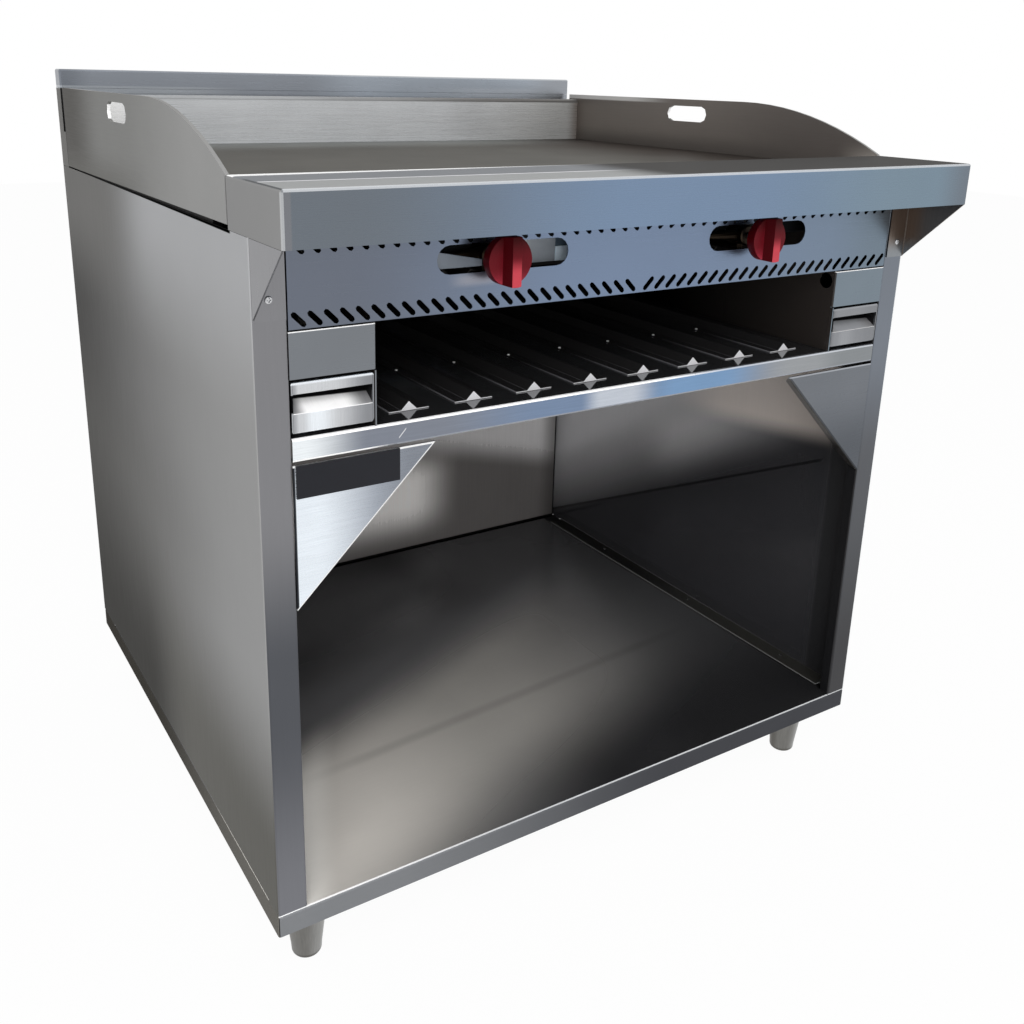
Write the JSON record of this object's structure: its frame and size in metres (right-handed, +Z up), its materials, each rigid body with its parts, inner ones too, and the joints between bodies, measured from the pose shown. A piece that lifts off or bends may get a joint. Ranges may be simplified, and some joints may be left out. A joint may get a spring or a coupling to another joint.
{
  "type": "gas griddle with broiler shelf",
  "caption": "Free-standing stainless gas griddle: guarded cooking plate over a low broiler shelf with rest bars, grease drawers, slotted control panel, front ledge and open storage base.",
  "frame": {"origin": "middle of the bounding box's footprint, on the floor", "axes": "+X to the operator's right, +Y from the front ledge to the flue riser at the back, +Z up"},
  "size_m": [0.9, 0.887, 0.9903],
  "materials": {
    "brushed_stainless": "brushed",
    "polished_stainless": "polished",
    "griddle_steel": "ground, with fine streaks across",
    "galvanised_steel": "galvanised",
    "cast_iron": "rough",
    "valve_brass": "dull",
    "red_plastic": "satin",
    "black_plate": "satin"
  },
  "bodies": {
    "cabinet": {"base_pan": "polished_stainless", "broiler_shelf": "polished_stainless", "rest_bar_1": "polished_stainless", "rest_bar_2": "polished_stainless", "rest_bar_3": "polished_stainless", "rest_bar_4": "polished_stainless", "rest_bar_5": "polished_stainless", "rest_bar_6": "polished_stainless", "rest_bar_7": "polished_stainless", "rest_bar_8": "polished_stainless", "back_panel": "brushed_stainless", "rear_cover": "brushed_stainless", "control_panel": "brushed_stainless", "ledge": "brushed_stainless", "grease_trough": "brushed_stainless", "flue_duct": "brushed_stainless", "flue_cap": "brushed_stainless", "nameplate": "black_plate", "gas_manifold": "galvanised_steel", "supply_pipe": "galvanised_steel", "front_burner_support": "galvanised_steel", "rear_burner_support": "galvanised_steel", "left_side_panel": "brushed_stainless", "left_column": "brushed_stainless", "left_gusset": "brushed_stainless", "left_ledge_bracket": "brushed_stainless", "left_drawer_guide": "galvanised_steel", "left_griddle_rest": "galvanised_steel", "left_gas_valve": "valve_brass", "left_burner": "cast_iron", "front_left_foot_socket": "galvanised_steel", "rear_left_foot_socket": "galvanised_steel", "right_side_panel": "brushed_stainless", "right_column": "brushed_stainless", "right_gusset": "brushed_stainless", "right_ledge_bracket": "brushed_stainless", "right_drawer_guide": "galvanised_steel", "right_griddle_rest": "galvanised_steel", "right_gas_valve": "valve_brass", "right_burner": "cast_iron", "front_right_foot_socket": "galvanised_steel", "rear_right_foot_socket": "galvanised_steel"},
    "griddle_top": {"griddle_plate": "griddle_steel", "back_splash": "brushed_stainless", "left_guard": "brushed_stainless", "right_guard": "brushed_stainless"},
    "left_drawer": {"left_drawer_front": "polished_stainless", "left_drawer_tray": "polished_stainless"},
    "left_valve": {"left_knob": "red_plastic", "left_valve_stem": "galvanised_steel"},
    "right_drawer": {"right_drawer_front": "polished_stainless", "right_drawer_tray": "polished_stainless"},
    "right_valve": {"right_knob": "red_plastic", "right_valve_stem": "galvanised_steel"},
    "front_left_levelling_foot": {"front_left_foot": "brushed_stainless"},
    "front_right_levelling_foot": {"front_right_foot": "brushed_stainless"},
    "rear_left_levelling_foot": {"rear_left_foot": "brushed_stainless"},
    "rear_right_levelling_foot": {"rear_right_foot": "brushed_stainless"}
  },
  "joints": [
    {"name": "griddle_lift", "type": "slide", "parent": "cabinet", "child": "griddle_top", "axis": [0, 0, 1], "range_m": [0, 0.2]},
    {"name": "left_drawer_slide", "type": "slide", "parent": "cabinet", "child": "left_drawer", "axis": [0, -1, 0], "range_m": [0, 0.22]},
    {"name": "left_valve_turn", "type": "hinge", "parent": "cabinet", "child": "left_valve", "pos_m": [-0.1917, -0.3785, 0.8187], "axis": [0, -1, 0], "range_deg": [0, 90]},
    {"name": "right_drawer_slide", "type": "slide", "parent": "cabinet", "child": "right_drawer", "axis": [0, -1, 0], "range_m": [0, 0.22]},
    {"name": "right_valve_turn", "type": "hinge", "parent": "cabinet", "child": "right_valve", "pos_m": [0.1677, -0.3785, 0.8187], "axis": [0, -1, 0], "range_deg": [0, 90]},
    {"name": "front_left_foot_screw", "type": "slide", "parent": "cabinet", "child": "front_left_levelling_foot", "axis": [0, 0, -1], "range_m": [0, 0.012]},
    {"name": "front_right_foot_screw", "type": "slide", "parent": "cabinet", "child": "front_right_levelling_foot", "axis": [0, 0, -1], "range_m": [0, 0.012]},
    {"name": "rear_left_foot_screw", "type": "slide", "parent": "cabinet", "child": "rear_left_levelling_foot", "axis": [0, 0, -1], "range_m": [0, 0.012]},
    {"name": "rear_right_foot_screw", "type": "slide", "parent": "cabinet", "child": "rear_right_levelling_foot", "axis": [0, 0, -1], "range_m": [0, 0.012]}
  ]
}
